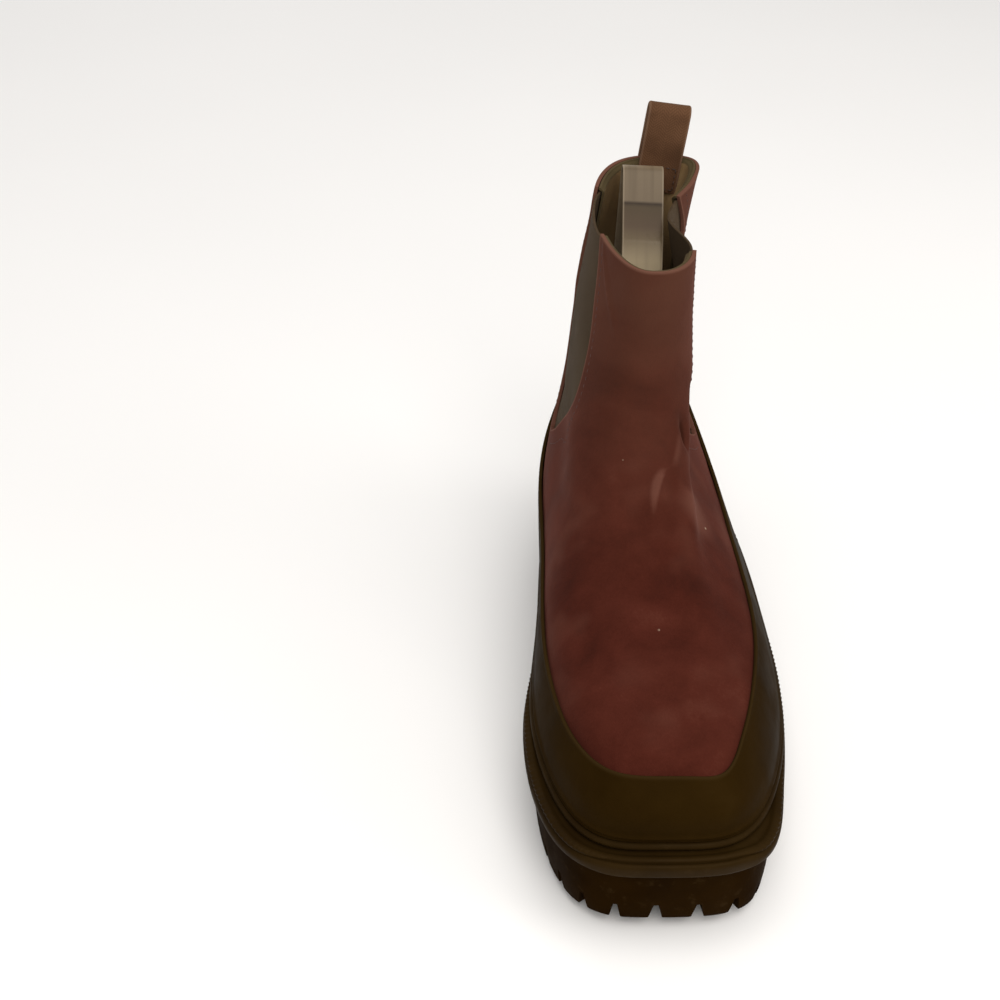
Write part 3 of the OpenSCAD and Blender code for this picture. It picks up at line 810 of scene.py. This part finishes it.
def suede_relief(u, v, skin, *_):
    height = 0.45 * waves(skin, 34, 3.1) + 0.22 * waves(skin, 13, 7.7)
    height *= smooth(0.10, 0.30, v) * (1 - 0.7 * smooth(0.94, 1.0, v))
    for lines, sign in ((FOLDS, -1), (RIDGES, 1)):
        for line, width, depth in lines:
            line = np.array(line)
            path = curve(hide(line[:, 0], line[:, 1]), np.linspace(0, 1, 13))
            gap, share = line_distance(skin, path)
            fade = np.sin(math.pi * np.clip(share, 0.04, 0.96)) ** 0.6
            height += sign * depth * fade * np.exp(-(gap / width) ** 2)
    for at_u, at_v, radius, rise in SWELLS:
        gap = np.linalg.norm(skin - hide(at_u, at_v), axis=-1)
        height += rise * np.exp(-(gap / radius) ** 2)
    return np.clip(height, -2.2, 1.7)


def build_suede():
    front = shell("suede_front", lambda a, v: (across_front(a, v), v), 190,
                  gore_rows(0.46, 0.0, 1.0, 190), 0.0, -SUEDE, SUEDE_LOOK, relief=suede_relief)
    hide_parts("vamp", "shaft_front")
    bend_with_front(front)
    back = shell("suede_back", lambda a, v: (across_back(a, v, SEAM_GAP), v), 120,
                 gore_rows(0.42, 0.0, 1.0, 170), 0.0, -SUEDE, SUEDE_LOOK, relief=suede_relief)
    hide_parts("back_panel")
    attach(back, "root")


def guard_top(u):
    """Top edge of the coated guards. The heel cover arches up between the mudguard's ends."""
    t = np.clip((u - SIDE_SEAM) / (1 - 2 * SIDE_SEAM), 0, 1)
    heel = mix(GUARD_TOP[-1], GUARD_TOP[0], t) + 0.155 * np.sin(math.pi * t) ** 1.4
    return np.where(u > SIDE_SEAM, heel, curve(GUARD_TOP, (u / SIDE_SEAM + 1) / 2))


def build_guards():
    joint = 0.0004

    def relief(u, v, skin, near, up):
        """A low rounded ridge along the top edge and another over the foot."""
        ridge = 0.28 * np.exp(-((near - 1.1) / 1.0) ** 2) + 0.75 * np.exp(-((up - 3.6) / 0.9) ** 2)
        return ridge + 0.16 * waves(skin, 26, 5.3) * smooth(2, 9, near)
    for name, first, last, columns, rows, node in (
            ("mudguard_shell", joint - SIDE_SEAM, SIDE_SEAM - joint, 250, 26, "mudguard"),
            ("heel_guard_shell", SIDE_SEAM + joint, 1 - SIDE_SEAM - joint, 150, 44,
             "heel_counter_cover")):
        def place(a, b, first=first, last=last):
            u = mix(first, last, a)
            return u, mix(0.004, guard_top(u), b)
        piece = shell(name, place, columns, 1 - (1 - np.linspace(0, 1, rows + 1)) ** 1.3, GUARD_OUT,
                      GUARD_IN, GUARD_LOOK, edge=0.5, relief=relief, rim_width=1.6)
        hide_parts(node)
        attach(piece, "root")
    lines = []
    for side in (1, -1):
        u = side * (SIDE_SEAM + 0.011)
        v = np.linspace(0.03, float(guard_top(u % 1)) - 0.012, 34)
        lines.append((hide(u, v) + outward(u, v) * (GUARD_OUT + 0.1), outward(u, v)))
    seam = stitches("guard_seam_stitching", lines, TAB_THREAD_LOOK)
    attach(seam, "root")


def build_gores():
    for side, name in ((1, "gore_medial"), (-1, "gore_lateral")):
        def place(a, v, side=side):
            lap = GORE_LAP * (1 - 0.65 * smooth(0.68, 0.58, v))
            return side * mix(gore_front(v, side) - lap, gore_back(v, side) + GORE_LAP,
                              a if side > 0 else 1 - a), v

        def swell(u, v, skin, near, up, side=side):
            """The elastic stands out a little between the suede's edges."""
            front, back, at = gore_front(v, side), gore_back(v, side), side * u
            inside = np.clip((at - front) * (back - at) * 4 / np.maximum(back - front, 1e-6) ** 2,
                             0, 1)
            return 0.2 * waves(skin, 15, 1.9) + 1.3 * np.sqrt(inside) * smooth(0.43, 0.55, v)
        gore = shell(name + "_elastic", place, 70, np.linspace(GORE_TIP - 0.10, GORE_DIP, 126),
                     GORE_OUT, GORE_IN, ELASTIC_LOOK, edge=0.3, relief=swell)
        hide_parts(name)
        start, end = gore_planes(side)
        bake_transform(gore)


def build_lining():
    """Linings whose top edges turn out to meet the suede, and the tapes under the topline."""
    turned = 0.984

    def outer(u, v):
        return mix(LINING_OUT, -SUEDE - 0.15, smooth(turned - 0.004, turned + 0.006, v))

    def inner(u, v):
        return mix(LINING_IN, -SUEDE - 1.3, smooth(turned - 0.004, turned + 0.012, v))

    def soft(u, v, skin, *_):
        return 0.25 * waves(skin, 24, 9.2)
    top = np.linspace(turned - 0.008, 0.9975, 12)
    front = shell("front_lining", lambda a, v: (across_front(a, v, SEAM_GAP), v), 110,
                  np.concatenate([gore_rows(0.42, 0.012, turned - 0.01, 100), top]), outer, inner,
                  LINING_LOOK, edge=0.35, relief=soft)
    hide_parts("vamp_lining", "shaft_front_lining")
    bend_with_front(front)
    back = shell("quarter_lining_cloth", lambda a, v: (across_back(a, v, SEAM_GAP), v), 80,
                 np.concatenate([gore_rows(0.42, 0.012, turned - 0.01, 90), top]), outer, inner,
                 LINING_LOOK, edge=0.35, relief=soft)
    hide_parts("quarter_lining")
    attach(back, "root")
    for name, first, last, body in (("topline_tape_front", -0.115, 0.15, "front_panel"),
                                    ("topline_tape_back", 0.335, 0.69, "root")):
        tape = shell(name + "_strip", lambda a, v: (mix(first, last, a), v), 60,
                     np.linspace(0.93, turned - 0.006, 8), GORE_OUT, GORE_IN, TAPE_LOOK, edge=0.2)
        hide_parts(name)
        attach(tape, body)


def build_upper_stitching():
    """A row of stitches beside each edge of the gores."""
    inset = 0.014  # share of the way round, from the suede's edge

    def row(side, edge_of, offset, low, high):
        v = np.linspace(low, high, 90)
        u = side * (edge_of(v, side) + offset)
        out = outward(u, v)
        skin = hide(u, v)
        return skin + out * (suede_relief(u, v, skin) - 0.01)[:, None], out
    front = stitches("gore_front_stitching",
                     [row(side, gore_front, -inset, GORE_TIP + 0.004, 0.985) for side in (1, -1)],
                     THREAD_LOOK)
    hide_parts("front_stitching")
    bend_with_front(front)
    back = stitches("gore_back_stitching",
                    [row(side, gore_back, inset + SEAM_GAP, GORE_TIP + 0.004, 0.985)
                     for side in (1, -1)], THREAD_LOOK)
    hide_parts("quarter_stitching")
    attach(back, "root")


# ---- the sole

def gap_half(z):
    """Half the gap between two edge lugs at height z."""
    return mix(2.75, 1.15, np.clip(z / TREAD, 0, 1))


def tread_lug_ring(inset, z):
    """One ring of the outsole: three points on the roof of each gap, eight on each lug."""
    starts = np.arange(LUGS) / LUGS
    gap, pitch = gap_half(z) / PERIMETER, 1 / LUGS
    bevel_s = 0.7 / PERIMETER
    roof = 0.75 * gap_half(TREAD) / PERIMETER
    columns = [(-roof, True), (0.0, True), (roof, True), (gap, False), (gap + bevel_s, False)]
    inner = np.linspace(gap + bevel_s, pitch - gap - bevel_s, 6)[1:-1]
    columns += [(x, False) for x in inner]
    columns += [(pitch - gap - bevel_s, False), (pitch - gap, False)]
    s = np.stack([starts + x for x, _ in columns], 1).ravel()
    heights = [max(z, TREAD) if roofed else z for _, roofed in columns]
    if z < TREAD:
        heights[3] = heights[-1] = max(z, 0.6)
    return sole_points(s, inset, np.tile(heights, LUGS))


def build_outsole():
    # (inset, height): down the wall and the lugs' outsides, across the ground and up inside
    wall = [(9, WALL_Z), (5.0, WALL_Z), (4.2, WALL_Z - 0.5), (3.9, WALL_Z - 1.4), (4.0, 27.5),
            (4.2, 21.5), (4.45, 16), (4.7, 12.6), (4.8, 11.3), (4.9, TREAD), (5.5, 4.5),
            (6.1, 1.2), (6.4, 0.4), (7.1, 0.0), (11.0, 0.0), (14.0, 0.0), (14.7, 0.4),
            (15.0, 1.2), (15.8, TREAD - 0.5), (16.6, TREAD), (20.0, TREAD)]
    rings = [tread_lug_ring(inset, z) for inset, z in wall]
    top = [toward_spine(rings[0], share, WALL_Z) for share in (0.9, 0.5, 0.2)]
    floor = [toward_spine(rings[-1], share, TREAD) for share in (0.2, 0.45, 0.7, 0.92)]
    sole = stack("lugged_outsole", [*top, *rings, *floor], TREAD_LOOK, sharp=32)
    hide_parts("outsole")
    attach(sole, "root")


def block_rings(outline):
    """A tread block from the groove floor down to the ground, with drafted sides."""
    outline = np.asarray(outline, float)
    centre = outline.mean(0)
    ahead = outline - centre
    size = np.linalg.norm(ahead, axis=1, keepdims=True)
    steps = ((0.0, TREAD + 0.6), (0.0, TREAD), (0.5, 0.7), (0.8, 0.2), (1.3, 0.0))
    return np.stack([raised(centre + ahead * (1 - shrink / size), z) for shrink, z in steps])


def build_tread_blocks():
    """Rows of blocks inside the edge lugs: a wide chevron and two small ones, then a pair."""
    s = np.linspace(0, 1, 721)
    inner = sole_points(s, 19.5, TREAD)
    inner_side, outer_side = inner[inner[:, 0] < 0], inner[inner[:, 0] > 0]
    inner_side = inner_side[np.argsort(inner_side[:, 1])]
    outer_side = outer_side[np.argsort(outer_side[:, 1])]
    points, faces = [], []
    pitch, depth, lean, gap = 17.0, 11.0, 3.2, 4.2
    for row in range(14):
        y = -108 + row * pitch
        left = np.interp(y, inner_side[:, 1], inner_side[:, 0])
        right = np.interp(y, outer_side[:, 1], outer_side[:, 0])
        middle, half = (left + right) / 2, (right - left) / 2
        spans = [(-0.62, 0.62)] if row % 2 == 0 else [(-0.98, -0.1), (0.1, 0.98)]
        if row % 2 == 0:
            spans += [(-0.98, -0.62 - gap / half), (0.62 + gap / half, 0.98)]
        for first, last in spans:
            if (last - first) * half < 5:
                continue
            x = np.linspace(middle + first * half, middle + last * half, 7)
            bend = lean * (1 - np.abs(x - middle) / half * 2)
            near = np.stack([x, y - depth / 2 + bend], -1)
            far = np.stack([x[::-1], y + depth / 2 + bend[::-1]], -1)
            rings = block_rings(np.concatenate([near, far]))
            faces.extend(tube_faces(*rings.shape[:2], len(points)))
            points.extend(rings.reshape(-1, 3))
    blocks = make_piece("tread_blocks", points, faces, TREAD_LOOK, sharp=30)
    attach(blocks, "root")


def build_bumper():
    """The strip round the sole: a lower lip, and a shoulder that is knurled along the sides."""
    # (inset, height from the top, share of the ribs' cut, moves inwards and up at the sides)
    profile = [(14, -8.73, 0, 0, 0), (8, -8.73, 0, 0, 0), (3.4, -8.73, 0, 0, 0),
               (2, -8.64, 0, 0, 0), (1.1, -8.28, 0, 0, 0), (0.6, -7.56, 0, 0, 0),
               (0.45, -6.3, 0, 0, 0), (0.35, -4.86, 0, 0, -0.54), (0.3, -3.42, 0, 0.1, -1.44),
               (0.35, -2.34, 0, 0.3, -1.98), (0.65, -1.44, 0, 0.4, -2.34),
               (1.2, -0.9, 0, 0.3, -2.52), (1.75, -0.77, 0, 0, -2.34),
               (2.3, -0.99, 0, -0.4, -1.98), (2.65, -1.44, 0.1, -1, -1.44),
               (2.9, -1.53, 0.6, -1.6, -0.54), (3, -1.17, 1, -2.2, -0.18),
               (3.1, -0.63, 1, -2.3, 0), (3.45, -0.09, 1, -2.2, 0), (4.1, 0.18, 0.8, -1.9, 0),
               (4.9, 0.23, 0.4, -1.6, 0), (5.5, 0, 0.1, -1.4, 0), (5.95, -0.45, 0, -1.2, 0),
               (6.4, -0.72, 0, -1, 0), (7.2, -0.72, 0, -0.6, 0), (8.5, -0.63, 0, 0, 0),
               (10, -0.54, 0, 0, 0), (14, -0.36, 0, 0, 0)]
    ribs = 260
    s = np.arange(ribs * 4) / (ribs * 4)
    cut = 0.5 - 0.5 * np.cos(TURN * ribs * s)
    sides = smooth(0.25, 0.8, np.abs(edge_normal(s)[:, 0]))
    base, height, ribbed, aside, down = np.array(profile).T
    depth = (cut * sides)[:, None] * ribbed
    inset = base + sides[:, None] * aside + 0.34 * depth
    z = TOP_Z + height + sides[:, None] * down - 0.22 * depth
    points = sole_points(s[:, None], inset, z)
    strip = hoop("bumper_strip", points, BUMPER_LOOK, sharp=60)
    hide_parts("welt")
    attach(strip, "root")
    u = np.arange(420) / 420
    turn = np.arange(18) / 18 * TURN
    offset = -(1.0 + BEAD_RADIUS * np.cos(turn))
    rise = BEAD_RADIUS * np.sin(turn) - 2
    rings = np.stack([feather_points(u, np.full(len(u), o), np.full(len(u), r))
                      for o, r in zip(offset, rise)], 1)
    bead = hoop("piping_bead", rings, BUMPER_LOOK)
    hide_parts("welt_bead")
    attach(bead, "root")


def build_insole():
    """The covered insole that shows at the bottom of the shaft, dished a little at the heel."""
    u = np.arange(240) / 240

    def ring(inset, rise):
        return feather_points(u, np.full(len(u), inset), np.full(len(u), rise))
    outer = [ring(6.2, 3.2), ring(5.9, 3.4), ring(5.85, 3.8), ring(6.1, 4.1), ring(6.8, 4.25)]
    spine = spine_beside(outer[-1])
    inner = []
    for share in (0.15, 0.35, 0.6, 0.85):
        p = outer[-1].copy()
        p[:, :2] = mix(p[:, :2], spine, share)
        p[:, 2] -= 0.5 * math.sin(share * math.pi / 2)
        inner.append(p)
    base = ring(8, 3.2)
    sock = stack("covered_insole", [base, *outer, *inner], SOCK_LOOK, sharp=60)
    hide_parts("sock_cover")
    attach(sock, "root")


# ---- pull tab and shaper

RIM = hide(0.5, 1.0)
TAB_HINGE = np.array(JOINTS["tab_flex"]["pos_m"]) / MM
TAB_LEAN = math.radians(8)


def turned_about(points, centre, angle):
    """Points turned about the Y axis through a centre."""
    c, s = math.cos(angle), math.sin(angle)
    d = points - centre
    x = d[..., 0] * c + d[..., 2] * s
    z = -d[..., 0] * s + d[..., 2] * c
    return np.stack([x + centre[0], d[..., 1] + centre[1], z + centre[2]], -1)


def arc(centre, radius, first, last, steps):
    a = np.radians(np.linspace(first, last, steps))
    return np.stack([centre[0] + radius * np.cos(a), centre[1] + radius * np.sin(a)], -1)


def resample(path, step):
    s = lengths_along(np.asarray(path, float), 0)
    at = np.linspace(0, s[-1], max(2, round(s[-1] / step)))
    return np.stack([np.interp(at, s, path[:, i]) for i in range(path.shape[1])], -1)


def tab_path():
    """Up the outside of the shaft, round the loop and down inside, as (y, z)."""
    thick, loop = 1.6, 3.5
    top = RIM[2] + 25 - loop - thick / 2
    out_y, in_y = RIM[1] + 2.2, RIM[1] + LINING_IN - 1.0
    neck = TAB_HINGE[1]
    foot = RIM[2] - 15.2
    knots_out = np.array([(out_y + 0.3, foot), (out_y + 0.1, foot + 8), (out_y, RIM[2] + 1),
                          (neck + loop + 0.25, RIM[2] + 8), (neck + loop + 0.3, RIM[2] + 14.5),
                          (neck + loop, top)])
    knots_in = np.array([(neck - loop, top), (neck - loop - 0.3, RIM[2] + 14.5),
                         (neck - loop - 0.1, RIM[2] + 8), (in_y, RIM[2] + 1),
                         (in_y + 0.1, foot + 8), (in_y + 0.4, foot)])
    up = curve(knots_out, np.linspace(0, 1, 60))
    down = curve(knots_in, np.linspace(0, 1, 60))
    return resample(np.concatenate([up, arc((neck, top), loop, 0, 180, 24)[1:-1], down]), 0.9)


def place_tab(points):
    """Leans the tab and lets its sewn ends follow the round back of the shaft."""
    across = np.abs(points[..., 0]) / (TAB_WIDTH / 2)
    below = 1 - smooth(RIM[2] - 2, RIM[2] + 9, points[..., 2])
    moved = points + [RIM[0], 0, 0]
    moved[..., 1] -= 1.0 * across ** 2 * below
    return turned_about(moved, np.array([RIM[0], TAB_HINGE[1], TAB_HINGE[2]]), TAB_LEAN)


def build_pull_tab():
    tab = ribbon("pull_tab_webbing", tab_path(), TAB_WIDTH, 1.6, place_tab, WEBBING_LOOK,
                 edge_swell=0.12)
    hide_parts("pull_tab", "pull_tab_anchor")
    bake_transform(tab)
    lines = []
    box = [(-7.5, -13.6), (7.5, -13.6), (7.5, -3.4), (-7.5, -3.4), (-7.5, -13.6)]
    cross = [[(-7.2, -13.2), (7.2, -3.8)], [(7.2, -13.2), (-7.2, -3.8)]]
    for face in (1, -1):
        y = RIM[1] + 2.2 + 0.95 if face > 0 else RIM[1] + LINING_IN - 1.0 - 0.95
        for corners in [box[i:i + 2] for i in range(4)] + (cross if face > 0 else []):
            (x0, z0), (x1, z1) = corners
            t = np.linspace(0, 1, 12)
            raw = np.stack([mix(x0, x1, t), np.full(12, y), RIM[2] + mix(z0, z1, t)], -1)
            lines.append((place_tab(raw), np.tile([0, face, 0], (12, 1)).astype(float)))
    sewing = stitches("tab_box_stitching", lines, TAB_THREAD_LOOK, length=1.9, gap=0.7, radius=0.26)
    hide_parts("pull_tab_stitching")
    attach(sewing, "root")


def build_shaper():
    radius, lean, drop = 6.0, math.radians(3), 85.0
    centre = np.array([RIM[0] - 10, RIM[1] - 19.5, RIM[2] - 4])
    leg = curve([(-27, -17), (-45, -46), (-55, -91)], np.linspace(0, 1, 40))
    bend = arc((0, 0), radius, 0, 128, 28)
    path = np.concatenate([[(radius, -drop), (radius, -drop / 2)], bend, leg])
    path = resample(path, 1.0) + centre[1:]

    def place(points):
        return turned_about(points + [centre[0], 0, 0], centre, lean)
    strip = ribbon("shaper_strip", path, 18.0, 0.8, place, SHAPER_LOOK)
    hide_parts("boot_shaper")
    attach(strip, "shaper")


# ---- stage

def build_stage():
    bpy.ops.mesh.primitive_plane_add(size=9, location=(0, 1.5, 0))
    floor = bpy.context.object
    floor.name = "floor"
    look = Look("floor", Roughness=0.75, Specular_IOR_Level=0.2)
    look.colour(look.tones(look.noise(2.2, 3, 0.5), (0.3, (0.925, 0.925, 0.930)),
                           (0.7, (0.945, 0.945, 0.950))))
    floor.data.materials.append(look.material)
    world = bpy.data.worlds.new("studio")
    world.use_nodes = True
    world.node_tree.nodes["Background"].inputs[0].default_value = (1.0, 0.985, 0.96, 1)
    world.node_tree.nodes["Background"].inputs[1].default_value = 0.42
    bpy.context.scene.world = world
    lamps = [("overhead", (0.2, -0.3, 1.8), 1.6, 17, (1.0, 0.97, 0.93)),
             ("front_fill", (0.1, -1.2, 1.3), 1.0, 13, (1.0, 0.96, 0.91)),
             ("side_fill", (1.6, -0.5, 0.9), 1.0, 6, (1.0, 0.96, 0.91)),
             ("back_fill", (-0.5, 1.7, 1.2), 1.2, 5, (1.0, 0.98, 0.96))]
    target = Vector((0, 0, 0.09))
    for name, place, size, power, colour in lamps:
        data = bpy.data.lights.new(name, "AREA")
        data.size, data.energy, data.color = size, power, colour
        lamp = bpy.data.objects.new(name, data)
        lamp.location = place
        lamp.rotation_euler = (target - Vector(place)).to_track_quat("-Z", "Y").to_euler()
        bpy.context.scene.collection.objects.link(lamp)
    bpy.context.scene.view_settings.view_transform = "Standard"


def build_camera():
    """The fitted camera: place in mm, angles in radians, focal length in mm on a 36 mm sensor."""
    place = Vector((-63.7, -562.6, 486.3)) * MM
    pitch, roll, boot_yaw, focal = 0.594, -0.010, -0.005, 57.67
    ahead = Vector((0, math.cos(pitch), -math.sin(pitch)))
    right = Vector((1, 0, 0))
    up = right.cross(ahead)
    right, up = (math.cos(roll) * right + math.sin(roll) * up,
                 math.cos(roll) * up - math.sin(roll) * right)
    back_turn = Matrix.Rotation(-boot_yaw, 4, "Z")
    axes = Matrix((right, up, -ahead)).transposed().to_4x4()
    data = bpy.data.cameras.new("camera")
    data.lens, data.sensor_width = focal, 36
    data.clip_start = 0.01
    camera = bpy.data.objects.new("camera", data)
    camera.matrix_world = back_turn @ Matrix.Translation(place) @ axes
    bpy.context.scene.collection.objects.link(camera)
    bpy.context.scene.camera = camera


build_camera()
build_stage()
build_suede()
build_guards()
build_gores()
build_lining()
build_upper_stitching()
build_outsole()
build_tread_blocks()
build_bumper()
build_insole()
build_pull_tab()
build_shaper()
for node_name, look_material in NODE_LOOKS.items():
    node_mesh = frame["nodes"][node_name].data
    node_mesh.materials.clear()
    node_mesh.materials.append(look_material)
